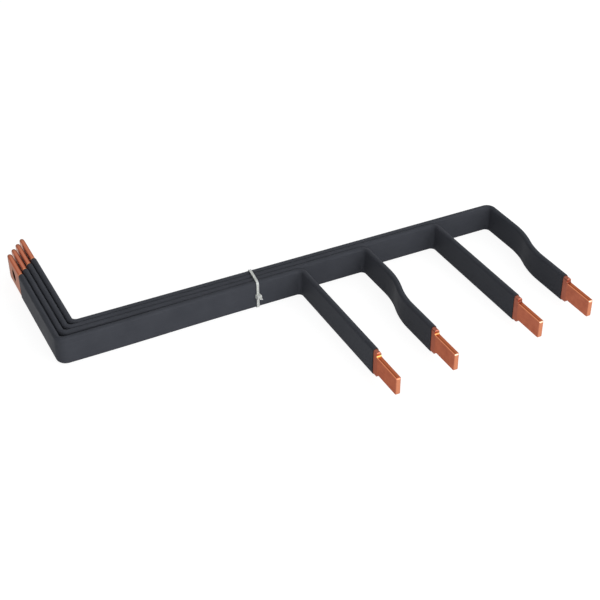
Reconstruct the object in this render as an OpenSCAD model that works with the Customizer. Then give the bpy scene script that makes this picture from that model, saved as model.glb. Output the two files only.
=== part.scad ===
// Four-pole set of preformed insulated copper busbars, nested on edge and bound by one cable tie.
// Millimetres, +Z up. The origin is under the middle of the set's outline, on the surface it lies on.
// The main run goes along X. The left arms go back along +Y and end in drilled flat ends.
// The right arms come forward along -Y, one after the other, and end in narrow blades.

/* [Copper bars] */
// Height of each bar, standing on edge
copper_w = 27.6; // [22:0.2:40]
// Thickness of each bar
copper_t = 5; // [3:0.5:8]
// Inner radius of every right-angle bend, on the sheath
bend_r = 4; // [3:0.5:20]

/* [Insulation] */
// Wall of the PVC sheath on the bar's flat sides
wall = 0.5; // [0.4:0.1:2]
// Wall of the sheath over the bar's upper and lower edges
edge_wall = 0.8; // [0.4:0.1:2]
// Clearance between a bar and its sheath, each side
fit_gap = 0.05; // [0.02:0.01:0.2]
// Clearance between neighbouring sheaths in the nest
nest_gap = 0.1; // [0.05:0.05:1]

/* [Main run] */
// From the outer face of the left arms to the middle of the cable tie
tie_x = 200.5; // [80:0.5:300]
// From the tie to the first right arm, then from arm to arm
arm_step = [46.5, 74, 86, 71.5]; // [30:0.5:150]
// Forward set of the front bar between the tie and its left corner
front_set = 2.4; // [0.5:0.1:6]
// Straight length of the front bar before and after that set
front_lead = 5.55; // [1.05:0.25:25.05]

/* [Left arms] */
// From the front of the nest to the sheath's end on the first left arm
left_reach = 119; // [70:0.5:250]
// Extra reach of each next left arm
left_step = 7.5; // [0:0.5:20]
// Clearance between neighbouring sheaths on the left arms
left_gap = 0.3; // [0.1:0.1:1]
// Bare length of each drilled end
lug_len = 45; // [36:0.5:70]
// Corner radius of each drilled end
lug_r = 5; // [0.5:0.5:9]
// Radius across the thickness at the tip of each drilled end
lug_nose = 2.2; // [0.4:0.1:2.3]
// Diameter of the bolt hole
hole_d = 11; // [6:0.5:14]
// From the middle of the bolt hole to the bar's end
hole_to_tip = 22; // [12:0.5:26]

/* [Right arms] */
// From the front of each bar's own run to the tip of its blade
arm_len = 183.7; // [165:0.1:300]
// Bare length of each right end, by pole
blade_bare = [40.9, 39.8, 41, 40.8]; // [20:0.1:60]
// Length of the full-height root at the sheath's end
root_len = 6; // [3:0.5:12]
// Radius on the root's outer corners
root_r = 1.8; // [0.4:0.1:4]
// Radius in the corner between root and blade
notch_r = 1.4; // [0.4:0.1:4]
// Height of the blade
blade_w = 18.5; // [10:0.5:19]
// Radius of the blade's two tip corners
tip_r = 2; // [0.5:0.1:5]
// Radius across the thickness at the tip of each blade
tip_nose = 1.6; // [0.4:0.1:2.3]
// Chamfer along the blade's long edges
blade_chamfer = 0.5; // [0.2:0.05:1.2]
// Sideways shift of the second and fourth arms
joggle = 10.3; // [4:0.1:25]
// Length over which an arm makes that shift
joggle_len = 61.8; // [40:0.2:70]
// From the front of its own run to where the second arm starts to shift
joggle_from_2 = 42.2; // [30:0.2:60]
// From the front of its own run to where the fourth arm starts to shift
joggle_from_4 = 42.6; // [30:0.2:60]

/* [Cable tie] */
// Width of the strap
strap_w = 2.5; // [1.8:0.1:7.6]
// Thickness of the strap
strap_t = 1.1; // [0.8:0.1:1.8]
// Angle at which the loop lies across the nest
tie_skew = 6.5; // [0:0.5:15]
// Clearance between the strap and the sheaths where it is tightest
tie_clear = 0.05; // [0.02:0.01:0.3]
// Angle by which the head is turned on the strap
head_turn = 17; // [0:1:22]
// Width of the tie's head beyond the strap, each side
head_lip = 1.15; // [0.6:0.05:2.5]
// Depth of the head, out from the sheath
head_d = 3.9; // [3:0.1:7]
// Length of the head along the strap
head_h = 4.4; // [3.5:0.1:8]
// Radius on the head's long edges
head_r = 0.8; // [0.2:0.1:1.2]
// Height of the head's middle above the underside of the sheaths
head_z = 13.6; // [8:0.1:18]
// Length of the cut tail outside the head, on its longer side
stub = 3; // [1.2:0.1:8]
// Length of the cut tail on its shorter side
stub_short = 1; // [0.3:0.1:1.2]
// Clearance around the tail in the head's slot
slot_clear = 0.3; // [0.1:0.05:0.5]
// Depth of the slot's mouth in the head
slot_d = 0.9; // [0.3:0.1:1.5]

/* [Hidden] */
$fn = 96;
poles = 4;
over = 1;

sheath_t = copper_t + 2 * wall;
sheath_w = copper_w + 2 * edge_wall;
pitch = sheath_t + nest_gap;
nest_d = poles * sheath_t + (poles - 1) * nest_gap;
turn_r = bend_r + sheath_t / 2;

function sum_to(v, i) = i < 0 ? 0 : v[i] + sum_to(v, i - 1);
// Middle of a bar across the nest, along the run and between the left arms
function lane(i) = sheath_t / 2 + i * pitch;
function left_lane(i) = lane(i) - (poles - 1 - i) * (left_gap - nest_gap);
// Left face of a right arm, before any shift
function arm_x(i) = tie_x + sum_to(arm_step, i);
function set_of(i) = i == 0 ? front_set : 0;
function joggle_of(i) = i % 2 == 1 ? joggle : 0;
function joggle_from(i) = i == 1 ? joggle_from_2 : joggle_from_4;

// Straight run from the tie to the left corner, and where the left arm starts and ends along Y
function left_run(i) = tie_x - left_lane(i) - turn_r;
function left_start(i) = lane(i) - set_of(i) + turn_r;
function left_end(i) = left_reach + i * left_step;

// The step between root and blade limits the two radii that fill it
step_h = (copper_w - blade_w) / 2;
step_fit = min(1, step_h / (root_r + notch_r));
root_corner = root_r * step_fit;
notch_corner = notch_r * step_fit;

// A thin bar leaves less room for the rounded tips
nose = min(lug_nose, copper_t / 2 - 0.2);
blade_nose = min(tip_nose, copper_t / 2 - 0.2);

// The skewed strap keeps its clearance at the edge that lies closest
strap_slack = tie_clear + strap_w / 2 * sin(tie_skew);
loop_front = -strap_slack / cos(tie_skew);
loop_d = (nest_d + 2 * strap_slack) / cos(tie_skew);
loop_h = sheath_w + 2 * tie_clear;
loop_r = sheath_t / 2 + tie_clear;
slot_z = head_z - head_h / 2 + strap_t + slot_clear;
// Spare depth behind the turned head, cut off along the front bar
back_room = 2 * head_lip + strap_w;

// The origin, in the frame where the nest's front left corner is zero
base_z = strap_t + tie_clear;
mid_x = (arm_x(poles - 1) + sheath_t + left_lane(0) - sheath_t / 2) / 2;
mid_y = (left_end(poles - 1) + lug_len - arm_len) / 2;

copper_colour = [0.72, 0.38, 0.26];
sheath_colour = [0.2, 0.21, 0.23];
nylon_colour = [0.88, 0.88, 0.84];

module round_rect(w, h, r) {
    square([w, h - 2 * r], center = true);
    square([w - 2 * r, h], center = true);
    for (x = [-1, 1], y = [-1, 1])
        translate([x * (w / 2 - r), y * (h / 2 - r)])
            circle(r);
}

// Flat section whose two short sides are half circles
module full_round(w, h) {
    square([w, h - w], center = true);
    for (y = [-1, 1])
        translate([0, y * (h - w) / 2])
            circle(w / 2);
}

// Cross-sections, with the bar's middle at the origin
module bar_section() {
    full_round(copper_t, copper_w);
}

module sheath_section() {
    difference() {
        full_round(sheath_t, sheath_w);
        full_round(copper_t + 2 * fit_gap, copper_w + 2 * fit_gap);
    }
}

module section(copper) {
    if (copper)
        bar_section();
    else
        sheath_section();
}

// A straight length, heading along +X, with what follows at its end
module leg(copper, len) {
    rotate([90, 0, 90])
        linear_extrude(height = len)
            section(copper);
    translate([len, 0, 0])
        children();
}

// A right-angle bend to the right, with what follows at its end
module corner(copper) {
    translate([0, -turn_r, 0])
        rotate_extrude(angle = 90)
            translate([turn_r, 0])
                section(copper);
    translate([turn_r, -turn_r, 0])
        rotate(-90)
            children();
}

// One of the two equal arcs of a sideways shift, a little longer than needed
module shift_arc(copper, r, a) {
    mirror([0, 1, 0])
        rotate_extrude(angle = 1.5 * a, $fn = max($fn, round(36 * 180 / a)))
            translate([r, 0])
                section(copper);
}

// A shift to the right: both arcs end on the line between their middles
module shift_right(copper, s, len) {
    r = (len * len + s * s) / (4 * s);
    a = 2 * atan(s / len);
    near = [0, -r];
    far = [len, r - s];
    intersection() {
        translate(near)
            rotate(90)
                shift_arc(copper, r, a);
        linear_extrude(height = sheath_w + 2 * over, center = true)
            polygon([near, far, [-over, far[1]], [-over, near[1]]]);
    }
    intersection() {
        translate(far)
            rotate(-90)
                shift_arc(copper, r, a);
        linear_extrude(height = sheath_w + 2 * over, center = true)
            polygon([far, near, [len + over, near[1]], [len + over, far[1]]]);
    }
}

// From the tie to the sheath's end on the left arm
module left_half(copper, i) {
    translate([tie_x, lane(i), 0])
        rotate(180)
            if (set_of(i) > 0)
                leg(copper, front_lead) {
                    mirror([0, 1, 0])
                        shift_right(copper, set_of(i), left_run(i) - 2 * front_lead);
                    translate([left_run(i) - 2 * front_lead, set_of(i), 0])
                        leg(copper, front_lead)
                            left_arm(copper, i)
                                children();
                }
            else
                leg(copper, left_run(i))
                    left_arm(copper, i)
                        children();
}

module left_arm(copper, i) {
    corner(copper)
        leg(copper, left_end(i) - left_start(i))
            children();
}

// From the tie to the sheath's end on the right arm
module right_half(copper, i) {
    len = arm_len - bend_r - blade_bare[i];
    before = joggle_from(i) - bend_r;
    translate([tie_x, lane(i), 0])
        leg(copper, sum_to(arm_step, i) - bend_r)
            corner(copper)
                if (joggle_of(i) > 0)
                    leg(copper, before) {
                        shift_right(copper, joggle_of(i), joggle_len);
                        translate([joggle_len, -joggle_of(i), 0])
                            leg(copper, len - before - joggle_len)
                                children();
                    }
                else
                    leg(copper, len)
                        children();
}

// Outline of the drilled end, from the side
module lug_side() {
    translate([0, -copper_w / 2])
        square([lug_len - lug_r, copper_w]);
    translate([0, -copper_w / 2 + lug_r])
        square([lug_len, copper_w - 2 * lug_r]);
    for (y = [-1, 1])
        translate([lug_len - lug_r, y * (copper_w / 2 - lug_r)])
            circle(lug_r);
}

// The drilled end from above, with its tip rounded
module lug_plan() {
    translate([0, -copper_t / 2 - over])
        square([lug_len - nose, copper_t + 2 * over]);
    translate([0, nose - copper_t / 2])
        square([lug_len, copper_t - 2 * nose]);
    for (y = [-1, 1])
        translate([lug_len - nose, y * (copper_t / 2 - nose)])
            circle(nose);
}

module lug() {
    difference() {
        intersection() {
            leg(true, lug_len);
            linear_extrude(height = copper_w + 2 * over, center = true)
                lug_plan();
            rotate([90, 0, 0])
                linear_extrude(height = copper_t + 2 * over, center = true)
                    lug_side();
        }
        translate([lug_len - hole_to_tip, 0, 0])
            rotate([90, 0, 0])
                cylinder(h = copper_t + 2 * over, d = hole_d, center = true);
    }
}

// Outline of the blade and its root, from the side
module blade_side(len) {
    translate([0, -copper_w / 2])
        square([root_len - root_corner, copper_w]);
    translate([0, -copper_w / 2 + root_corner])
        square([root_len, copper_w - 2 * root_corner]);
    for (y = [-1, 1])
        translate([root_len - root_corner, y * (copper_w / 2 - root_corner)])
            circle(root_corner);
    translate([0, -blade_w / 2])
        square([len - tip_r, blade_w]);
    translate([0, -blade_w / 2 + tip_r])
        square([len, blade_w - 2 * tip_r]);
    for (y = [-1, 1])
        translate([len - tip_r, y * (blade_w / 2 - tip_r)])
            circle(tip_r);
    for (y = [-1, 1])
        difference() {
            translate([root_len, y * (blade_w + notch_corner) / 2])
                square([2 * notch_corner, notch_corner], center = true);
            translate([root_len + notch_corner, y * (blade_w / 2 + notch_corner)])
                circle(notch_corner);
        }
}

// Section of the blade, with its long edges chamfered
module blade_section() {
    x = copper_t / 2;
    y = blade_w / 2;
    c = blade_chamfer;
    polygon([[x, y - c], [x - c, y], [c - x, y], [-x, y - c],
        [-x, c - y], [c - x, -y], [x - c, -y], [x, c - y]]);
}

// The blade from above, with its tip rounded
module blade_plan(len) {
    translate([0, -copper_t / 2 - over])
        square([root_len, copper_t + 2 * over]);
    translate([0, -copper_t / 2])
        square([len - blade_nose, copper_t]);
    translate([0, blade_nose - copper_t / 2])
        square([len, copper_t - 2 * blade_nose]);
    for (y = [-1, 1])
        translate([len - blade_nose, y * (copper_t / 2 - blade_nose)])
            circle(blade_nose);
}

module blade(len) {
    intersection() {
        rotate([90, 0, 0])
            linear_extrude(height = copper_t + 2 * over, center = true)
                blade_side(len);
        linear_extrude(height = copper_w + 2 * over, center = true)
            blade_plan(len);
        union() {
            leg(true, root_len + notch_corner);
            rotate([90, 0, 90])
                linear_extrude(height = len)
                    blade_section();
        }
    }
}

module placed() {
    translate([-mid_x, -mid_y, base_z])
        children();
}

module conductor(i) {
    placed()
        translate([0, 0, sheath_w / 2]) {
            left_half(true, i)
                lug();
            right_half(true, i)
                blade(blade_bare[i]);
        }
}

module sheath(i) {
    placed()
        translate([0, 0, sheath_w / 2]) {
            left_half(false, i);
            right_half(false, i);
        }
}

module conductor_1() { color(copper_colour) conductor(0); }
module conductor_2() { color(copper_colour) conductor(1); }
module conductor_3() { color(copper_colour) conductor(2); }
module conductor_4() { color(copper_colour) conductor(3); }
module sheath_1() { color(sheath_colour) sheath(0); }
module sheath_2() { color(sheath_colour) sheath(1); }
module sheath_3() { color(sheath_colour) sheath(2); }
module sheath_4() { color(sheath_colour) sheath(3); }

// The closed strap, seen along its width
module loop_section() {
    translate([loop_front + loop_d / 2, sheath_w / 2])
        difference() {
            round_rect(loop_d + 2 * strap_t, loop_h + 2 * strap_t, loop_r + strap_t);
            round_rect(loop_d, loop_h, loop_r);
        }
}

// The tail's cut end outside the head, from above
module tail_plan() {
    w = strap_w / 2;
    polygon([[-w, slot_d], [w, slot_d], [w, -stub], [-w, -stub_short]]);
}

// The head with the tail in its slot, out along -Y from the strap's inner face
module tie_head() {
    difference() {
        translate([0, (back_room - head_d) / 2, head_z - head_h / 2])
            linear_extrude(height = head_h)
                round_rect(strap_w + 2 * head_lip, head_d + back_room, head_r);
        translate([0, -head_d, slot_z])
            cube([strap_w + 2 * slot_clear, 2 * slot_d, strap_t + 2 * slot_clear], center = true);
    }
    translate([0, -head_d, slot_z - strap_t / 2])
        linear_extrude(height = strap_t)
            tail_plan();
}

module cable_tie() {
    color(nylon_colour)
        placed()
            translate([tie_x, 0, 0]) {
                rotate(-tie_skew)
                    rotate([90, 0, 90])
                        linear_extrude(height = strap_w, center = true)
                            loop_section();
                // The head's back lies along the front bar, clear of it
                intersection() {
                    rotate(-tie_skew)
                        translate([0, loop_front, 0])
                            rotate(head_turn)
                                tie_head();
                    translate([-sheath_w, -tie_clear - sheath_w, 0])
                        cube([2 * sheath_w, sheath_w, sheath_w]);
                }
            }
}

conductor_1();
conductor_2();
conductor_3();
conductor_4();
sheath_1();
sheath_2();
sheath_3();
sheath_4();
cable_tie();
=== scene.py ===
import math

import bmesh
import bpy
import numpy as np
from mathutils import Matrix, Vector


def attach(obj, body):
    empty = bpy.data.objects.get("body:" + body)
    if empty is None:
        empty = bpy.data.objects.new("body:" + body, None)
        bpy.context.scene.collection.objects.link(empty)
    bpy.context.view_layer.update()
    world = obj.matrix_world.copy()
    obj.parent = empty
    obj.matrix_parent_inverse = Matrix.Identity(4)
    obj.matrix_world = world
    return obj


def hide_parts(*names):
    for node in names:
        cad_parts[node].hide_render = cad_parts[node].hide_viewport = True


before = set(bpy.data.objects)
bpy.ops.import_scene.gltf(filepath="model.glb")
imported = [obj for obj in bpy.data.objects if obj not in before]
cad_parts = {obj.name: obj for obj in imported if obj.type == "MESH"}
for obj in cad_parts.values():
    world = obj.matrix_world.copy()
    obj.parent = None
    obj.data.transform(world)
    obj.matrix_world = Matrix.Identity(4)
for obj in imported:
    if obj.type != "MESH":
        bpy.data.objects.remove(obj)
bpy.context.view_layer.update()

MM_PER_M = 1000.0

# Sizes of the set in millimetres, the same as those of its solids
COPPER_W, COPPER_T = 27.6, 5.0
WALL, EDGE_WALL, FIT = 0.5, 0.8, 0.05
NEST, LEFT_GAP, BEND_R = 0.1, 0.3, 4.0
TIE_X, ARM_STEP = 200.5, (46.5, 74.0, 86.0, 71.5)
FRONT_SET, FRONT_LEAD = 2.4, 5.55
LEFT_REACH, LEFT_STEP = 119.0, 7.5
LUG_LEN, LUG_R, LUG_NOSE, HOLE_D, HOLE_TO_TIP = 45.0, 5.0, 2.2, 11.0, 22.0
ARM_LEN, BLADE_BARE = 183.7, (40.9, 39.8, 41.0, 40.8)
ROOT_LEN, ROOT_R, NOTCH_R = 6.0, 1.8, 1.4
BLADE_W, TIP_R, TIP_NOSE, CHAMFER = 18.5, 2.0, 1.6, 0.5
JOGGLE, JOGGLE_LEN, JOGGLE_FROM = 10.3, 61.8, {1: 42.2, 3: 42.6}
STRAP_W, STRAP_T, SKEW, TIE_CLEAR = 2.5, 1.1, math.radians(6.5), 0.05
HEAD_TURN, HEAD_LIP, HEAD_D, HEAD_H, HEAD_Z = math.radians(17.0), 1.15, 3.9, 4.4, 13.6
STUB, STUB_SHORT, SLOT_CLEAR, SLOT_D = 3.0, 1.0, 0.3, 0.9

# Sizes that follow from those above
POLES = len(ARM_STEP)
LAST = POLES - 1
SHEATH_T, SHEATH_W = COPPER_T + 2 * WALL, COPPER_W + 2 * EDGE_WALL
PITCH = SHEATH_T + NEST
NEST_D = POLES * SHEATH_T + LAST * NEST
TURN_R = BEND_R + SHEATH_T / 2
BASE_Z = STRAP_T + TIE_CLEAR
MID_X = (TIE_X + sum(ARM_STEP) + SHEATH_T - LAST * (LEFT_GAP - NEST)) / 2
MID_Y = (LEFT_REACH + LAST * LEFT_STEP + LUG_LEN - ARM_LEN) / 2
MID_Z = BASE_Z + SHEATH_W / 2
LOOP_R = SHEATH_T / 2 + TIE_CLEAR
TIE_SLACK = TIE_CLEAR + STRAP_W / 2 * math.sin(SKEW)
TIE_FRONT = -TIE_SLACK / math.cos(SKEW)
TIE_DEPTH = (NEST_D + 2 * TIE_SLACK) / math.cos(SKEW)
TAIL_Z = HEAD_Z - HEAD_H / 2 + STRAP_T + SLOT_CLEAR

# The long edges are full rounds, with a narrow flat left between the two corners that make one
EDGE_FLAT = 0.05
COPPER_R, SHEATH_R = COPPER_T / 2 - EDGE_FLAT, SHEATH_T / 2 - EDGE_FLAT

# Small forms that only this script has, in millimetres
SOFT_EDGE, CHAMFER_FLATNESS = 0.3, 0.8
# The largest share of a bare end's half thickness that a corner takes, on the drilled ends and on the blades
LUG_CORNER, BLADE_CORNER = 0.98, 0.8
HOLE_FLARE = 0.3
# A sheath's soft end: distances from the end, and how far its skin stands in there
SHEATH_LIP = ((0.0, 0.18), (0.05, 0.06), (0.18, 0.0), (1.0, 0.0))
# The share of its thickness that a drilled end loses at its tip, and the length of that taper
LUG_TAPER, LUG_TAPER_LEN = 0.30, 8.0
# The strap's soft edge, the two widths of the rim beside its teeth and the depth of the band at its bends
STRAP_SOFT, RIM_TOP, RIM_FOOT, BEND_DEPTH = 0.14, 0.42, 0.46, 0.22
# A tooth's stretches, each with its share of the pitch and its depth under the rim where it starts
TOOTH_PITCH, TOOTH = 0.9, ((0.62, 0.30), (0.12, 0.04), (0.26, 0.30))
# The tie's head: its soft edges, its block's depth before it is cut off behind, and the window on top
HEAD_SOFT, HEAD_BACK = 0.55, 3.0
WINDOW_HALF, WINDOW_FROM_FACE, WINDOW_FROM_STRAP, WINDOW_D = 0.8, 0.9, 0.6, 0.5
TAIL_SOFT, TAIL_IN = 0.12, 0.3
BEVEL_PROFILE = 0.6
# How far a cutter reaches out of its piece, and the box that cuts the head off behind
OVER = 1.0
BACK_CUT = (-20.0, 20.0, -TIE_CLEAR, 20.0, -5.0, 40.0)

# Distances at which the bare ends' sections are drawn, closer where they curve: from a drilled end's tip,
# from a sheath's right end, from a notch and from a blade's tip
LUG_AT = (0.0, 0.03, 0.1, 0.22, 0.4, 0.62, 0.9, 1.25, 1.7, LUG_NOSE, 2.8, 3.5, 4.2, LUG_R, 5.4, 8.0, 11.0,
          13.5, 16.5, 22.0, 27.5, 30.5, 34.0, 38.0, 40.0, 41.5, 42.5, 43.3, 44.0, 44.5, 44.8)
ROOT_AT = (0.2, 0.5, 1.0, 1.7, 2.5, 3.3)
BLADE_AT = (0.5, 2.0, 5.0, 10.0, 15.0, 20.0)
TIP_AT = (3.4, 2.7, TIP_R, TIP_NOSE, 1.3, 1.05, 0.82, 0.6, 0.42, 0.27, 0.15, 0.06, 0.01, 0.0)

# Steps of round stretches and of straight ones, and angles from which an edge is sharp
CORNER_STEPS, SHEATH_STEPS, HOLE_STEPS, HEAD_STEPS, TAIL_STEPS = 8, 9, 96, 3, 2
TURN_STEPS, SET_STEPS, JOGGLE_STEPS, LOOP_STEPS = 20, 10, 14, 6
QUARTER_STEP = 9
ROUTE_STEP = 9.0
BAR_SHARP, SHEATH_SHARP, TIE_SHARP = 32.0, 40.0, 35.0

# How bright the painted highlight is in the upper notch, by pole; below zero it is painted shade instead
NOTCH_SHINE = (0.85, 0.5, -0.8, -0.8)


def to_row(p):
    """Millimetres from the nest's front left corner, to metres in the row's frame."""
    q = np.asarray(p, float) - np.array([MID_X, MID_Y, 0.0])
    return q / MM_PER_M


# Routes

def straight(length):
    n = max(1, int(round(length / ROUTE_STEP)))
    return [("L", length / n)] * n


def arc(r, degrees, n):
    return [("A", r, math.radians(degrees) / n)] * n


def shift(s, length, n):
    """A sideways shift made of two equal arcs: to the left if s is positive."""
    r = (length * length + s * s) / (4 * abs(s))
    a = 2 * math.degrees(math.atan(abs(s) / length)) * (1 if s > 0 else -1)
    return arc(r, a, n) + arc(r, -a, n)


def trace(start, heading, moves):
    """Stations along a list of moves: two coordinates, the heading and the length so far."""
    x, y = start
    h, s = heading, 0.0
    out = [(x, y, h, s)]
    for m in moves:
        if m[0] == "L":
            x += m[1] * math.cos(h)
            y += m[1] * math.sin(h)
            s += m[1]
        else:
            r, a = m[1], m[2]
            side = 1 if a > 0 else -1
            cx, cy = x - side * r * math.sin(h), y + side * r * math.cos(h)
            h += a
            x, y = cx + side * r * math.sin(h), cy - side * r * math.cos(h)
            s += r * abs(a)
        out.append((x, y, h, s))
    return out


def ahead(p, d):
    """A station moved straight on by a length d."""
    return (p[0] + d * math.cos(p[2]), p[1] + d * math.sin(p[2]), p[2], p[3] + d)


def lane(i):
    return SHEATH_T / 2 + i * PITCH


def left_lane(i):
    return lane(i) - (LAST - i) * (LEFT_GAP - NEST)


def left_end(i):
    return LEFT_REACH + i * LEFT_STEP


def route(i):
    """The middle of a bar in plan, from the sheath's left end to its right end."""
    drop = FRONT_SET if i == 0 else 0.0
    run = TIE_X - left_lane(i) - TURN_R
    moves = straight(left_end(i) - (lane(i) - drop + TURN_R))
    moves += arc(TURN_R, 90, TURN_STEPS)
    if drop:
        lead = straight(FRONT_LEAD)
        moves += lead + shift(drop, run - 2 * FRONT_LEAD, SET_STEPS) + lead
    else:
        moves += straight(run)
    moves += straight(sum(ARM_STEP[: i + 1]) - BEND_R)
    moves += arc(TURN_R, -90, TURN_STEPS)
    rest = ARM_LEN - BEND_R - BLADE_BARE[i]
    if i in JOGGLE_FROM:
        before = JOGGLE_FROM[i] - BEND_R
        moves += straight(before) + shift(-JOGGLE, JOGGLE_LEN, JOGGLE_STEPS)
        rest -= before + JOGGLE_LEN
    moves += straight(rest)
    return trace((left_lane(i), left_end(i)), -math.pi / 2, moves)


# Sections

# The points that a ring has on its flats, each flat following its corner, and how they are set in
FLAT_POINTS = (2, 3, 2, 3)
INSET, INSET_SHARE = 0.3, 0.4


def ring(a, b, c, flat=0.0, steps=CORNER_STEPS):
    """A rectangle's outline with half sizes a and b and corners of size c, round or flattened to chamfers."""
    pts = []
    corners = ((1, 1), (-1, 1), (-1, -1), (1, -1))
    ways = ((-1.0, 0.0), (0.0, -1.0), (1.0, 0.0), (0.0, 1.0))
    for n, ((sx, sy), way) in enumerate(zip(corners, ways)):
        bow = []
        for j in range(steps + 1):
            t = math.radians(90.0 * n + 90.0 * j / steps)
            bow.append(np.array([sx * (a - c) + c * math.cos(t), sy * (b - c) + c * math.sin(t)]))
        for j in range(steps + 1):
            chord = bow[0] + (bow[-1] - bow[0]) * j / steps
            pts.append(bow[j] * (1 - flat) + chord * flat)
        half = (b if n % 2 else a) - c
        inset = min(INSET, half * INSET_SHARE)
        along = [inset, 2 * half - inset]
        if FLAT_POINTS[n] == 3:
            along.insert(1, half)
        last = pts[-1]
        pts += [last + d * np.array(way) for d in along]
    return np.array(pts)


def cut_ring(a, b):
    """The bar's round-edged outline, cut off at the half sizes a and b."""
    full = ring(COPPER_T / 2, COPPER_W / 2, COPPER_R)
    small = ring(a, b, SOFT_EDGE)
    over = (np.abs(full[:, 0]) > a) & (np.abs(full[:, 1]) > b)
    out = np.stack([np.clip(full[:, 0], -a, a), np.clip(full[:, 1], -b, b)], 1)
    out[over] = small[over]
    return out


def ring_mask(corners, flats):
    """A value for each point of a ring, given for its corners and for the flats that follow them."""
    out = []
    for corner, flat, points in zip(corners, flats, FLAT_POINTS):
        out += [corner] * (CORNER_STEPS + 1) + [flat] * points
    return np.array(out)


# Masks over a bar's ring: its corners, the upper ones most, for the painted highlight on the chamfers; its
# upper side; and the point of the upper side that lies next to the second corner, for the painted dark
# reflection line
ON_CORNER = ring_mask((1.0, 1.0, 0.2, 0.2), (0.0, 0.0, 0.0, 0.0))
ON_TOP = ring_mask((1.0, 1.0, 0.0, 0.0), (1.0, 0.0, 0.0, 0.0))
ON_DARK_LINE = np.zeros(len(ON_TOP))
ON_DARK_LINE[CORNER_STEPS + FLAT_POINTS[0]] = 1.0


def stand_back(r, d):
    """How far a quarter round of radius r stands back at a distance d from where it ends."""
    return r - math.sqrt(max(0.0, r ** 2 - (r - d) ** 2)) if d < r else 0.0


def place_ring(pts, p):
    """A section's points, set square to the route at a station: the section's first axis points left."""
    out = np.zeros((len(pts), 3))
    out[:, 0] = p[0] - math.sin(p[2]) * pts[:, 0]
    out[:, 1] = p[1] + math.cos(p[2]) * pts[:, 0]
    out[:, 2] = MID_Z + pts[:, 1]
    return out


def around(pts):
    """Lengths around a ring, from its first point back to it."""
    d = np.linalg.norm(np.roll(pts, -1, axis=0) - pts, axis=1)
    return np.concatenate([[0.0], np.cumsum(d)])


# Meshes

def loft(rings, along, girth, closed=False):
    """Vertices, faces and face-corner UVs of a skin over rings with the same number of points.

    A closed skin leads from the last ring back to the first one; an open one has a face at each end.
    """
    n, m = len(rings[0]), len(rings)
    verts = np.vstack(rings)
    faces, uvs = [], []
    for i in range(m if closed else m - 1):
        i2 = (i + 1) % m
        u0, u1 = along[i], along[i + 1]
        for j in range(n):
            j2 = (j + 1) % n
            faces.append([i * n + j, i * n + j2, i2 * n + j2, i2 * n + j])
            uvs.append([(u0, girth[j]), (u0, girth[j + 1]), (u1, girth[j + 1]), (u1, girth[j])])
    if not closed:
        first = list(range(n))[::-1]
        last = [(m - 1) * n + j for j in range(n)]
        for face, u in ((first, along[0]), (last, along[-1])):
            faces.append(face)
            uvs.append([(u, girth[j % n]) for j in face])
    return verts, faces, uvs


def mark(me, name, values):
    """A named value on each point of a mesh."""
    at = me.attributes.new(name, "FLOAT", "POINT")
    at.data.foreach_set("value", np.asarray(values, dtype=np.float32))


def add_object(name, me, sharp):
    """An object in the scene with a mesh whose faces point outwards and are smooth up to an angle."""
    ob = bpy.data.objects.new(name, me)
    bpy.context.scene.collection.objects.link(ob)
    finish_mesh(ob, sharp)
    return ob


def make_object(name, verts, faces, uvs, sharp=BAR_SHARP, marks=None):
    """A mesh object in the row's frame with UVs in metres (along, around) and named point values."""
    me = bpy.data.meshes.new(name)
    me.from_pydata([tuple(v) for v in verts], [], [list(f) for f in faces])
    layer = me.uv_layers.new(name="route")
    corners = np.array([c for f in uvs for c in f]) / MM_PER_M
    layer.data.foreach_set("uv", corners.astype(np.float32).ravel())
    for key, values in (marks or {}).items():
        mark(me, key, values)
    me.validate(clean_customdata=False)
    return add_object(name, me, sharp)


def finish_mesh(ob, sharp):
    me = ob.data
    bm = bmesh.new()
    bm.from_mesh(me)
    bmesh.ops.recalc_face_normals(bm, faces=bm.faces)
    bm.to_mesh(me)
    bm.free()
    me.shade_smooth()
    me.set_sharp_from_angle(angle=math.radians(sharp))
    me.update()


def carve(ob, cutters, sharp=BAR_SHARP):
    """Cuts closed meshes out of an object and keeps the result as its own mesh."""
    for cut in cutters:
        mod = ob.modifiers.new("cut", "BOOLEAN")
        mod.operation, mod.solver, mod.object = "DIFFERENCE", "EXACT", cut
    deps = bpy.context.evaluated_depsgraph_get()
    me = bpy.data.meshes.new_from_object(ob.evaluated_get(deps), preserve_all_data_layers=True,
                                         depsgraph=deps)
    ob.modifiers.clear()
    old = ob.data
    ob.data = me
    me.name = ob.name
    bpy.data.meshes.remove(old)
    for cut in cutters:
        cm = cut.data
        bpy.data.objects.remove(cut)
        bpy.data.meshes.remove(cm)
    finish_mesh(ob, sharp)


def spool(name, centre, r, half, flare):
    """A round cutter along X, flared at both faces of a plate with the half thickness given."""
    prof = [(-half - OVER, r + flare + OVER), (-half, r + flare), (-half + flare, r),
            (half - flare, r), (half, r + flare), (half + OVER, r + flare + OVER)]
    t = np.arange(HOLE_STEPS) * 2 * math.pi / HOLE_STEPS
    rings = []
    for x, rad in prof:
        rings.append(np.stack([np.full(HOLE_STEPS, centre[0] + x), centre[1] + rad * np.cos(t),
                               centre[2] + rad * np.sin(t)], 1))
    v, f, u = loft(rings, [p[0] for p in prof], np.zeros(HOLE_STEPS + 1))
    return make_object(name, to_row(v), f, u)


# Sheaths

# The length over which a sheath's end is darkened with painted shade, where the sheath meets the copper
END_SHADE_LEN = 2.5


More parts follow.
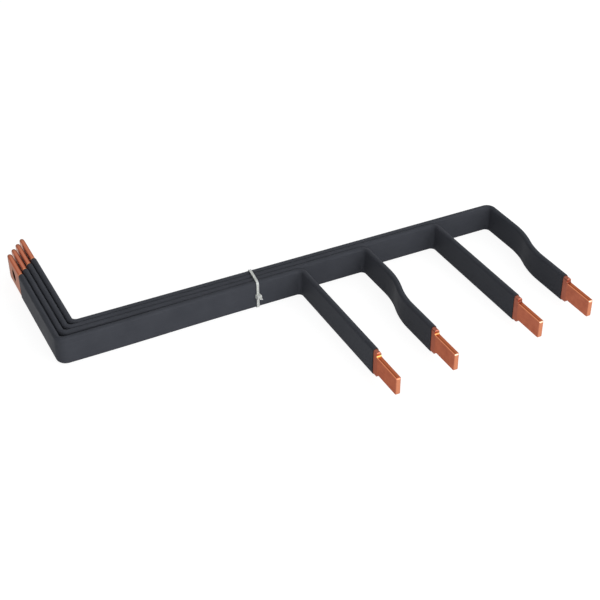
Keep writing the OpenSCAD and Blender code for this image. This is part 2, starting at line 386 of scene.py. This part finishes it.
def sheath_mesh(i):
    pts = route(i)
    total = pts[-1][3]

    def skin(e):
        return ring(SHEATH_T / 2 - e, SHEATH_W / 2 - e, SHEATH_R - e, steps=SHEATH_STEPS)

    outer = skin(0.0)
    inner = ring(COPPER_T / 2 + FIT, COPPER_W / 2 + FIT, COPPER_R + FIT, steps=SHEATH_STEPS)
    stations = [(ahead(pts[0], d), skin(e)) for d, e in SHEATH_LIP]
    stations += [(p, outer) for p in pts[1:-1]]
    stations += [(ahead(pts[-1], -d), skin(e)) for d, e in reversed(SHEATH_LIP)]
    stations += [(p, inner) for p in reversed(pts)]
    rings = [place_ring(sec, p) for p, sec in stations]
    along = [p[3] for p, sec in stations]
    v, f, u = loft(rings, along + along[:1], around(outer), closed=True)
    ends = []
    for s in along:
        # How strongly each ring takes the painted shade at the sheath's ends
        ends += [math.exp(-min(s, total - s) / END_SHADE_LEN)] * len(outer)
    return make_object("sheath_skin_%d" % (i + 1), to_row(v), f, u, SHEATH_SHARP, {"end_shade": ends})


# Bars

def lug_stations(i):
    """Stations of the drilled end, from its tip to the sheath's end, with the distance from the sheath."""
    out = []
    for d in LUG_AT:
        a = COPPER_T / 2 - stand_back(LUG_NOSE, d)
        b = COPPER_W / 2 - stand_back(LUG_R, d)
        if d < LUG_TAPER_LEN:
            a *= 1 - LUG_TAPER * (1 - d / LUG_TAPER_LEN) ** 2
        bare = LUG_LEN - d
        p = (left_lane(i), left_end(i) + bare, -math.pi / 2, -bare)
        out.append((p, ring(a, b, min(COPPER_R, LUG_CORNER * a)), bare))
    return out


def blade_stations(i, end):
    """Stations of the blade and its root, from the sheath's end to the tip, with that distance."""
    flat_end = ROOT_LEN - ROOT_R
    root = list(ROOT_AT) + [flat_end]
    root += [flat_end + ROOT_R * math.sin(math.radians(t)) for t in range(QUARTER_STEP, 91, QUARTER_STEP)]
    out = []
    for x in root:
        b = COPPER_W / 2 - stand_back(ROOT_R, ROOT_LEN - x)
        out.append((ahead(end, x), cut_ring(COPPER_T / 2, b), x))
    blade = [ROOT_LEN + NOTCH_R * (1 - math.cos(math.radians(t))) for t in range(0, 91, QUARTER_STEP)]
    blade += [ROOT_LEN + NOTCH_R + q for q in BLADE_AT]
    blade += [BLADE_BARE[i] - d for d in TIP_AT]
    for x in blade:
        d = BLADE_BARE[i] - x
        a = COPPER_T / 2 - stand_back(TIP_NOSE, d)
        b = BLADE_W / 2 + stand_back(NOTCH_R, x - ROOT_LEN) - stand_back(TIP_R, d)
        # The notch's soft corners turn into the blade's chamfers
        q = min(1.0, (x - ROOT_LEN) / NOTCH_R)
        c = SOFT_EDGE + (CHAMFER - SOFT_EDGE) * q
        out.append((ahead(end, x), ring(a, b, min(c, BLADE_CORNER * a), CHAMFER_FLATNESS * q), x))
    return out


# Reach of the marks on a bar's bare ends: brighter copper next to the sheath and the dark tip of a drilled
# end
NEAR_SHEATH_LEN, LUG_SHADE_LEN = 2.6, 7.5
# Past a blade's root: where its own tone, the painted highlight on its chamfers and the painted dark
# reflection line start
BLADE_FADE, EDGE_FADE, DARK_LINE_FROM, DARK_LINE_FADE = 2.0, 1.2, 1.0, 1.5
# The painted highlight or shade in the upper notch, and the share of it that is left on the root's side
NOTCH_AT, NOTCH_LEN, NOTCH_ON_ROOT, ROOT_SIDE = 0.6, 1.2, 0.3, 0.01
# From a blade's tip: the painted highlight on the nose, where the painted dark reflection line ends, and the
# painted glint
NOSE_FULL, NOSE_LEN, DARK_LINE_END, GLINT_AT = 1.25, 0.8, 0.8, 0.5
# A distance beyond every mark's reach, for stations off the blade
FAR = 99.0


def clamp(x):
    return min(1.0, max(0.0, x))


def bell(x, width):
    return math.exp(-(x / width) ** 2)


def bar_marks(i, d, sec, on_lug, on_blade):
    """Values that tell the copper's material what a station's points are: cuts, edges, faces, and where
    painted light and shade go.
    """
    every = np.ones(len(sec))
    past = d - ROOT_LEN if on_blade else -FAR
    tip = BLADE_BARE[i] - d if on_blade else FAR
    # Faces of a drilled end that look at a neighbouring one, which get a painted pale reflection
    facing = (sec[:, 0] < 0) & (i > 0) | (sec[:, 0] > 0) & (i < LAST)
    # On a blade, a painted highlight on the round nose; on a drilled end, a dark tip
    nose = -bell(LUG_LEN - d, LUG_SHADE_LEN) if on_lug else clamp(NOSE_FULL - tip / NOSE_LEN)
    in_notch = bell(past - NOTCH_AT, NOTCH_LEN) * (1.0 if past > ROOT_SIDE else NOTCH_ON_ROOT)
    return {
        # Brighter copper on a drilled end next to the sheath
        "near_sheath": every * (bell(d, NEAR_SHEATH_LEN) if on_lug else 0.0),
        "lug": every * on_lug,
        "blade": every * clamp(past / BLADE_FADE),
        # Chamfers: a painted highlight, with some burnished wear
        "edge": ON_CORNER * clamp(past / EDGE_FADE + 0.5) * min(1.0, tip / TIP_NOSE),
        "nose": every * nose,
        # A painted highlight or painted shade in the upper notch
        "notch": ON_TOP * NOTCH_SHINE[i] * in_notch,
        # A painted dark reflection line along the blade's upper side, next to its near chamfer
        "painted_dark_line": ON_DARK_LINE * clamp((past - DARK_LINE_FROM) / DARK_LINE_FADE) * clamp(tip - DARK_LINE_END),
        # A painted glint at the top corner of a blade's tip
        "glint": ON_TOP * (bell(tip - GLINT_AT, GLINT_AT) if i else 0.0),
        # A painted pale reflection on the drilled ends' faces that look at a neighbour
        "pale": facing * float(on_lug),
    }


# How far from the bore's surface a point still belongs to it
BORE_REACH = 0.05


def conductor_mesh(i):
    pts = route(i)
    body = ring(COPPER_T / 2, COPPER_W / 2, COPPER_R)
    lug, blade = lug_stations(i), blade_stations(i, pts[-1])
    stations = lug + [(p, body, 0.0) for p in pts] + blade
    rings = [place_ring(sec, p) for p, sec, d in stations]
    v, f, u = loft(rings, [p[3] for p, sec, d in stations], around(body))
    blade_from = len(lug) + len(pts)
    rows = [bar_marks(i, d, sec, k < len(lug), k >= blade_from) for k, (p, sec, d) in enumerate(stations)]
    marks = {key: np.concatenate([row[key] for row in rows]) for key in rows[0]}
    ob = make_object("bar_%d" % (i + 1), to_row(v), f, u, marks=marks)
    hole = np.array([left_lane(i), left_end(i) + LUG_LEN - HOLE_TO_TIP, MID_Z])
    carve(ob, [spool("hole_cutter_%d" % i, hole, HOLE_D / 2, COPPER_T / 2, HOLE_FLARE)])
    axis, limit = to_row(hole), (HOLE_D / 2 + BORE_REACH) / MM_PER_M
    apart = [math.hypot(vert.co.y - axis[1], vert.co.z - axis[2]) for vert in ob.data.vertices]
    # Points of the bore, which get painted shade
    mark(ob.data, "bore", [float(r < limit) for r in apart])
    return ob


# Cable tie

def tie_points(p):
    """Points of the tie's own frame (across, into the nest, up), in the row's frame."""
    c, s = math.cos(SKEW), math.sin(SKEW)
    q = np.asarray(p, float) @ np.array([[c, s, 0.0], [-s, c, 0.0], [0.0, 0.0, 1.0]]).T
    q[:, 0] += TIE_X
    q[:, 2] += BASE_Z
    return to_row(q)


def head_points(p):
    """Points of the head's own frame, which is turned on the strap, in the row's frame."""
    q = np.asarray(p, float)
    c, s = math.cos(HEAD_TURN), math.sin(HEAD_TURN)
    across, into = c * q[:, 0] - s * q[:, 1], s * q[:, 0] + c * q[:, 1] + TIE_FRONT
    return tie_points(np.stack([across, into, q[:, 2]], 1))


def nest_points(p):
    """Points of the frame at the tie's place that is square to the nest, in the row's frame."""
    return to_row(np.asarray(p, float) + np.array([TIE_X, 0.0, BASE_Z]))


def strap_section(depth):
    """The strap's outline: soft edges, and a band between two rims that lies deeper."""
    t, w, e = STRAP_T, STRAP_W / 2, STRAP_SOFT
    right = [(w - e, 0.0), (w, e), (w, t - e), (w - e, t), (w - RIM_TOP, t), (w - RIM_FOOT, t - depth)]
    left = [(-x, y) for x, y in reversed(right)]
    return left[-1:] + [(0.0, 0.0)] + right + left[:-1]


def strap_mesh():
    """The toothed loop, from the middle of its front, upwards and round."""
    half, side = SHEATH_W / 2 + TIE_CLEAR - LOOP_R, TIE_DEPTH - 2 * LOOP_R
    moves, depths = [], []
    for n, length in enumerate((half, side, 2 * half, side, half)):
        if n:
            moves += arc(LOOP_R, 90, LOOP_STEPS)
            depths += [BEND_DEPTH] * LOOP_STEPS
        teeth = max(1, int(round(length / TOOTH_PITCH)))
        moves += [("L", length / teeth * share) for share, depth in TOOTH] * teeth
        depths += [depth for share, depth in TOOTH] * teeth
    path = trace((0.0, 0.0), 0.0, moves)
    rings = []
    for (up, into, h, s), depth in zip(path, depths):
        # The path runs up the front and into the nest, so outwards is to the right of its heading
        pts = [(x, TIE_FRONT + into - math.cos(h) * out, SHEATH_W / 2 + up + math.sin(h) * out)
               for x, out in strap_section(depth)]
        rings.append(np.array(pts))
    girth = np.linspace(0.0, 2 * (STRAP_W + STRAP_T), len(rings[0]) + 1)
    v, f, u = loft(rings, [s for up, into, h, s in path], girth, closed=True)
    return make_object("tie_strap", tie_points(v), f, u, TIE_SHARP)


def block(x0, x1, y0, y1, z0, z1):
    return [(x, y, z) for z in (z0, z1) for x, y in ((x0, y0), (x1, y0), (x1, y1), (x0, y1))]


def soft_block(name, corners, bevel=0.0, steps=1, place=head_points):
    """A block from its four lower and four upper corners, with bevelled edges."""
    bm = bmesh.new()
    vs = [bm.verts.new(c) for c in corners]
    for f in ((0, 1, 2, 3), (7, 6, 5, 4), (0, 4, 5, 1), (1, 5, 6, 2), (2, 6, 7, 3), (3, 7, 4, 0)):
        bm.faces.new([vs[k] for k in f])
    bmesh.ops.recalc_face_normals(bm, faces=bm.faces)
    if bevel:
        bmesh.ops.bevel(bm, geom=bm.edges[:], offset=bevel, segments=steps, affect="EDGES",
                        profile=BEVEL_PROFILE)
    me = bpy.data.meshes.new(name)
    bm.to_mesh(me)
    bm.free()
    co = np.array([vert.co[:] for vert in me.vertices])
    for vert, q in zip(me.vertices, place(co)):
        vert.co = q
    return add_object(name, me, TIE_SHARP)


def head_mesh():
    """The tie's head, with a mouth for the tail and a window on top, cut off along the nest's front."""
    wide, low, high = STRAP_W / 2 + HEAD_LIP, HEAD_Z - HEAD_H / 2, HEAD_Z + HEAD_H / 2
    head = soft_block("tie_head", block(-wide, wide, -HEAD_D, HEAD_BACK, low, high), HEAD_SOFT, HEAD_STEPS)
    w, t = STRAP_W / 2 + SLOT_CLEAR, STRAP_T / 2 + SLOT_CLEAR
    mouth = block(-w, w, -HEAD_D - OVER, SLOT_D - HEAD_D, TAIL_Z - t, TAIL_Z + t)
    window = block(-WINDOW_HALF, WINDOW_HALF, WINDOW_FROM_FACE - HEAD_D, -STRAP_T - WINDOW_FROM_STRAP,
                   high - WINDOW_D, high + OVER)
    cutters = [soft_block("mouth_cutter", mouth), soft_block("window_cutter", window),
               soft_block("back_cutter", block(*BACK_CUT), place=nest_points)]
    carve(head, cutters, TIE_SHARP)
    return head


def tail_mesh():
    """The tail's end in the head's mouth, cut off askew."""
    w, t = STRAP_W / 2, STRAP_T / 2
    inside = SLOT_D + TAIL_IN - HEAD_D
    plan = ((-w, inside), (w, inside), (w, -HEAD_D - STUB), (-w, -HEAD_D - STUB_SHORT))
    corners = [(x, y, z) for z in (TAIL_Z - t, TAIL_Z + t) for x, y in plan]
    return soft_block("tie_tail", corners, TAIL_SOFT, TAIL_STEPS)


def tie_mesh():
    strap, head, tail = strap_mesh(), head_mesh(), tail_mesh()
    bpy.ops.object.select_all(action="DESELECT")
    for ob in (head, tail):
        ob.data.uv_layers.new(name="route")
        ob.select_set(True)
    strap.select_set(True)
    bpy.context.view_layer.objects.active = strap
    bpy.ops.object.join()
    strap.name = "tie_skin"
    return strap


# Materials

def new_material(name):
    m = bpy.data.materials.new(name)
    m.use_nodes = True
    t = m.node_tree
    t.nodes.clear()
    out = t.nodes.new("ShaderNodeOutputMaterial")
    bsdf = t.nodes.new("ShaderNodeBsdfPrincipled")
    t.links.new(bsdf.outputs[0], out.inputs[0])
    return m, t, bsdf


class Nodes:
    """Short calls for the shader nodes that the materials use."""

    # The colour sockets of a mix node
    MIX_A, MIX_B, MIX_OUT = 6, 7, 2

    def __init__(self, tree):
        self.t = tree

    def link(self, a, b):
        self.t.links.new(a, b)

    def feed(self, socket, value):
        """Links another node's output to a socket, or sets a plain value on it."""
        if hasattr(value, "is_linked"):
            self.link(value, socket)
        else:
            socket.default_value = value

    def object_coords(self):
        return self.t.nodes.new("ShaderNodeTexCoord").outputs["Object"]

    def route_coords(self):
        n = self.t.nodes.new("ShaderNodeUVMap")
        n.uv_map = "route"
        return n.outputs["UV"]

    def value(self, name):
        n = self.t.nodes.new("ShaderNodeAttribute")
        n.attribute_name = name
        return n.outputs["Fac"]

    def object_normal_z(self):
        n = self.t.nodes.new("ShaderNodeSeparateXYZ")
        self.link(self.t.nodes.new("ShaderNodeTexCoord").outputs["Normal"], n.inputs[0])
        return n.outputs["Z"]

    def scaled(self, vec, scale):
        n = self.t.nodes.new("ShaderNodeMapping")
        n.inputs["Scale"].default_value = scale
        self.link(vec, n.inputs["Vector"])
        return n.outputs["Vector"]

    def noise(self, vec, scale, detail, rough=0.5):
        n = self.t.nodes.new("ShaderNodeTexNoise")
        n.inputs["Scale"].default_value = scale
        n.inputs["Detail"].default_value = detail
        n.inputs["Roughness"].default_value = rough
        self.link(vec, n.inputs["Vector"])
        return n.outputs["Fac"]

    def spread(self, value, start, end):
        """A value's range from start, a pair, taken to the range of the pair end and held at its limits."""
        n = self.t.nodes.new("ShaderNodeMapRange")
        n.inputs["From Min"].default_value, n.inputs["From Max"].default_value = start
        n.inputs["To Min"].default_value, n.inputs["To Max"].default_value = end
        self.link(value, n.inputs["Value"])
        return n.outputs["Result"]

    def mix(self, amount, a, b):
        n = self.t.nodes.new("ShaderNodeMix")
        n.data_type = "RGBA"
        self.link(amount, n.inputs["Factor"])
        for socket, c in ((n.inputs[self.MIX_A], a), (n.inputs[self.MIX_B], b)):
            self.feed(socket, (*c, 1.0) if isinstance(c, tuple) else c)
        return n.outputs[self.MIX_OUT]

    def layered(self, tone, layers):
        """A tone with others laid over it, each by its own amount."""
        for amount, colour in layers:
            tone = self.mix(amount, tone, colour)
        return tone

    def math(self, op, a, b=0.0):
        n = self.t.nodes.new("ShaderNodeMath")
        n.operation = op
        self.feed(n.inputs[0], a)
        self.feed(n.inputs[1], b)
        return n.outputs[0]

    def times(self, *factors):
        out = factors[-1]
        for factor in reversed(factors[:-1]):
            out = self.math("MULTIPLY", factor, out)
        return out

    def bump(self, height, strength, distance, normal=None):
        n = self.t.nodes.new("ShaderNodeBump")
        n.inputs["Strength"].default_value = strength
        n.inputs["Distance"].default_value = distance
        self.link(height, n.inputs["Height"])
        if normal is not None:
            self.link(normal, n.inputs["Normal"])
        return n.outputs["Normal"]


def pvc_material():
    m, t, b = new_material("pvc_charcoal")
    n = Nodes(t)
    obj, uv = n.object_coords(), n.route_coords()
    streak = n.noise(n.scaled(uv, (6.0, 420.0, 1.0)), 1.0, 4.0, 0.6)
    cloud = n.noise(obj, 38.0, 3.0, 0.55)
    grain = n.noise(obj, 2600.0, 2.0, 0.6)
    wave = n.noise(obj, 24.0, 1.0, 0.4)
    tone = n.mix(n.spread(cloud, (0.3, 0.7), (0.0, 1.0)), (0.044, 0.047, 0.056), (0.052, 0.055, 0.065))
    tone = n.layered(tone, (
        # Lighter lines along the extrusion
        (n.spread(streak, (0.52, 0.8), (0.0, 0.5)), (0.060, 0.063, 0.073)),
        # Darker, browner cut ends: painted shade where the sheath meets the copper
        (n.spread(n.value("end_shade"), (0.75, 1.0), (0.0, 0.6)), (0.038, 0.029, 0.027)),
    ))
    n.link(tone, b.inputs["Base Color"])
    rough = n.spread(n.math("ADD", cloud, n.times(streak, 0.6)), (0.55, 1.05), (0.50, 0.62))
    n.link(rough, b.inputs["Roughness"])
    b.inputs["Specular IOR Level"].default_value = 0.04
    normal = n.bump(wave, 0.25, 0.0006)
    normal = n.bump(streak, 0.18, 0.00006, normal)
    normal = n.bump(grain, 0.30, 0.00004, normal)
    n.link(normal, b.inputs["Normal"])
    return m


def copper_material():
    m, t, b = new_material("bare_copper")
    n = Nodes(t)
    obj, uv = n.object_coords(), n.route_coords()
    drawn = n.noise(n.scaled(uv, (14.0, 900.0, 1.0)), 1.0, 5.0, 0.65)
    tarnish = n.noise(obj, 120.0, 4.0, 0.6)
    grain = n.noise(obj, 1500.0, 3.0, 0.6)
    edge, blade, lug = n.value("edge"), n.value("blade"), n.value("lug")
    nose, notch = n.value("nose"), n.value("notch")
    upright = n.math("ABSOLUTE", n.object_normal_z())
    top = n.spread(upright, (0.2, 0.7), (0.0, 1.0))
    side = n.math("SUBTRACT", 1.0, top)
    tone = n.mix(n.spread(tarnish, (0.32, 0.7), (0.0, 1.0)), (0.410, 0.128, 0.076), (0.345, 0.102, 0.062))
    tone = n.layered(tone, (
        # Lighter lines along the drawn bar, and a duller tone before the blade
        (n.spread(drawn, (0.45, 0.75), (0.0, 0.6)), (0.470, 0.158, 0.094)),
        (n.spread(blade, (0.0, 1.0), (0.55, 0.0)), (0.270, 0.095, 0.072)),
        # Faces of the drilled ends lighter and their round tops darker with a lighter crest, painted light
        # and shade by the way each faces; paler still where they face each other, a painted reflection
        (n.times(lug, side, 0.75), (0.510, 0.272, 0.208)),
        (n.times(n.value("pale"), side, 0.8), (0.860, 0.660, 0.580)),
        (n.times(lug, top, 0.75), (0.400, 0.108, 0.056)),
        (n.times(lug, n.spread(upright, (0.80, 0.97), (0.0, 0.75))), (0.560, 0.212, 0.128)),
        # The blade's cut upper side in a deeper tone where it faces up, a painted reflection, with a painted
        # dark reflection line along its near chamfer
        (n.times(blade, n.spread(upright, (0.75, 0.95), (0.0, 0.75))), (0.430, 0.118, 0.048)),
        (n.spread(n.value("painted_dark_line"), (0.50, 1.0), (0.0, 0.85)), (0.190, 0.036, 0.010)),
        # Brighter copper next to the sheath, a painted highlight on the blade tips and dark tips of the
        # drilled ends
        (n.spread(n.value("near_sheath"), (0.3, 0.95), (0.0, 0.85)), (0.820, 0.340, 0.130)),
        (n.spread(nose, (0.0, 1.0), (0.0, 0.85)), (0.720, 0.275, 0.150)),
        (n.spread(nose, (-0.2, -1.0), (0.0, 0.8)), (0.150, 0.090, 0.060)),
        # Chamfers lighter, a painted highlight with some burnished wear; painted highlights or shade in the
        # notches, painted glints at the blade tips and painted shade in the bores
        (n.spread(edge, (0.35, 0.9), (0.0, 0.9)), (0.680, 0.245, 0.125)),
        (n.spread(notch, (0.1, 0.9), (0.0, 0.9)), (0.900, 0.470, 0.130)),
        (n.spread(notch, (-0.1, -0.8), (0.0, 0.7)), (0.100, 0.022, 0.013)),
        (n.spread(n.value("glint"), (0.3, 0.9), (0.0, 0.5)), (0.960, 0.800, 0.620)),
        (n.times(n.value("bore"), 0.85), (0.100, 0.036, 0.026)),
    ))
    n.link(tone, b.inputs["Base Color"])
    b.inputs["Metallic"].default_value = 1.0
    b.inputs["Specular Tint"].default_value = (0.65, 0.50, 0.45, 1.0)
    rough = n.spread(n.math("ADD", drawn, tarnish), (0.75, 1.25), (0.28, 0.42))
    n.link(n.math("SUBTRACT", rough, n.times(edge, 0.10)), b.inputs["Roughness"])
    normal = n.bump(drawn, 0.22, 0.00004)
    normal = n.bump(grain, 0.10, 0.00003, normal)
    n.link(normal, b.inputs["Normal"])
    return m


def nylon_material():
    m, t, b = new_material("natural_nylon")
    n = Nodes(t)
    obj = n.object_coords()
    cloud = n.noise(obj, 420.0, 3.0, 0.55)
    grain = n.noise(obj, 2200.0, 2.0)
    tone = n.mix(n.spread(cloud, (0.3, 0.7), (0.0, 1.0)), (0.54, 0.555, 0.535), (0.65, 0.665, 0.635))
    n.link(tone, b.inputs["Base Color"])
    n.link(n.spread(cloud, (0.3, 0.7), (0.34, 0.46)), b.inputs["Roughness"])
    b.inputs["Subsurface Weight"].default_value = 0.15
    b.inputs["Subsurface Radius"].default_value = (0.001, 0.001, 0.0008)
    n.link(n.bump(grain, 0.15, 0.00004), b.inputs["Normal"])
    return m


# The dressed pieces

pvc, copper, nylon = pvc_material(), copper_material(), nylon_material()


def dress(ob, material, node):
    ob.data.materials.clear()
    ob.data.materials.append(material)
    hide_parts(node)
    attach(ob, "root")


for i in range(POLES):
    dress(sheath_mesh(i), pvc, "sheath_%d" % (i + 1))
    dress(conductor_mesh(i), copper, "conductor_%d" % (i + 1))
dress(tie_mesh(), nylon, "cable_tie")

# Floor, light and camera

scene = bpy.context.scene
scene.view_settings.view_transform = "Standard"


def grey(level):
    return (level, level, level, 1.0)


def shader(tree, kind, **values):
    """A shader node with values set on its sockets."""
    node = tree.nodes.new(kind)
    for socket, value in values.items():
        node.inputs[socket].default_value = value
    return node


def show(tree, plain, seen, output):
    """Gives one shader to camera, glossy and transmission rays and a plain one to the others."""
    n = Nodes(tree)
    path = tree.nodes.new("ShaderNodeLightPath").outputs
    both = n.math("MAXIMUM", path["Is Glossy Ray"], path["Is Transmission Ray"])
    mix = tree.nodes.new("ShaderNodeMixShader")
    n.link(n.math("MAXIMUM", path["Is Camera Ray"], both), mix.inputs[0])
    n.link(plain.outputs[0], mix.inputs[1])
    n.link(seen.outputs[0], mix.inputs[2])
    n.link(mix.outputs[0], tree.nodes.new(output).inputs[0])


def floor_material():
    """Almost white where it is seen, with the set's faint shadow on it."""
    m = bpy.data.materials.new("pale_floor")
    m.use_nodes = True
    t = m.node_tree
    t.nodes.clear()
    shaded = shader(t, "ShaderNodeBsdfDiffuse", Color=grey(0.22))
    glow = shader(t, "ShaderNodeEmission", Color=grey(1.0), Strength=0.90)
    seen = t.nodes.new("ShaderNodeAddShader")
    t.links.new(shaded.outputs[0], seen.inputs[0])
    t.links.new(glow.outputs[0], seen.inputs[1])
    show(t, shader(t, "ShaderNodeBsdfDiffuse", Color=grey(0.80)), seen, "ShaderNodeOutputMaterial")
    return m


# The world's light: its level at the horizon and overhead, and the brighter part's direction and level
SKY_LEVEL, SKY_TOP = (0.61, 0.10), 0.8
BRIGHT_SIDE, BRIGHT_POWER, BRIGHT_LEVEL = (0.70, 0.40, 0.59), 4.0, 1.3


def studio_world():
    """Soft light all round, weaker from overhead, with a broad brighter part on the right behind the set."""
    world = bpy.data.worlds.new("studio")
    world.use_nodes = True
    t = world.node_tree
    t.nodes.clear()
    n = Nodes(t)
    direction = t.nodes.new("ShaderNodeTexCoord").outputs["Generated"]
    axes = t.nodes.new("ShaderNodeSeparateXYZ")
    n.link(direction, axes.inputs[0])
    toward = t.nodes.new("ShaderNodeVectorMath")
    toward.operation = "DOT_PRODUCT"
    toward.inputs[1].default_value = BRIGHT_SIDE
    n.link(direction, toward.inputs[0])
    lobe = n.math("POWER", n.math("MAXIMUM", toward.outputs["Value"], 0.0), BRIGHT_POWER)
    sky = n.spread(axes.outputs["Z"], (0.0, SKY_TOP), SKY_LEVEL)
    soft = shader(t, "ShaderNodeBackground", Color=(0.97, 0.985, 1.0, 1.0))
    n.link(n.math("ADD", sky, n.times(lobe, BRIGHT_LEVEL)), soft.inputs["Strength"])
    white = shader(t, "ShaderNodeBackground", Color=grey(1.0), Strength=1.0)
    show(t, soft, white, "ShaderNodeOutputWorld")
    return world


# Half the floor's width in metres
FLOOR_HALF = 30.0

me = bpy.data.meshes.new("floor")
floor_corners = [(FLOOR_HALF * x, FLOOR_HALF * y, 0.0) for x, y in ((-1, -1), (1, -1), (1, 1), (-1, 1))]
me.from_pydata(floor_corners, [], [(0, 1, 2, 3)])
floor = bpy.data.objects.new("floor", me)
scene.collection.objects.link(floor)
me.materials.append(floor_material())

scene.world = studio_world()


def lamp(name, place, size, watts):
    """A square lamp, aimed at the set's middle on the floor."""
    data = bpy.data.lights.new(name, "AREA")
    data.shape, data.size, data.energy = "SQUARE", size, watts
    ob = bpy.data.objects.new(name, data)
    ob.location = place
    ob.rotation_euler = (-Vector(place)).to_track_quat("-Z", "Y").to_euler()
    scene.collection.objects.link(ob)


lamp("key", (0.42, -1.60, 0.85), 1.7, 26.5)
lamp("fill", (-0.90, -1.30, 0.50), 1.2, 5.0)

# The photograph's viewpoint: turned, raised and rolled about a point on the set
AZ, EL, ROLL = math.radians(-26.499), math.radians(34.886), math.radians(-0.458)
TARGET = to_row([233.072, -26.215, MID_Z])
DISTANCE, FOCAL_PX, PHOTO_PX, SENSOR = 1.176075, 1223.16, 600.0, 36.0
back = Vector((math.sin(AZ) * math.cos(EL), -math.cos(AZ) * math.cos(EL), math.sin(EL)))
level = Vector((math.cos(AZ), math.sin(AZ), 0.0))
upwards = back.cross(level)
right = level * math.cos(ROLL) + upwards * math.sin(ROLL)
up = upwards * math.cos(ROLL) - level * math.sin(ROLL)
cam = bpy.data.cameras.new("camera")
cam.sensor_fit, cam.sensor_width = "HORIZONTAL", SENSOR
cam.lens = FOCAL_PX * SENSOR / PHOTO_PX
cam.clip_start, cam.clip_end = 0.01, 100.0
cam_ob = bpy.data.objects.new("camera", cam)
pose = Matrix((right, up, back)).transposed().to_4x4()
pose.translation = Vector(TARGET) + back * DISTANCE
cam_ob.matrix_world = pose
scene.collection.objects.link(cam_ob)
scene.camera = cam_ob

bpy.context.view_layer.update()


def plain(box):
    return [[float(c) for c in corner] for corner in box]
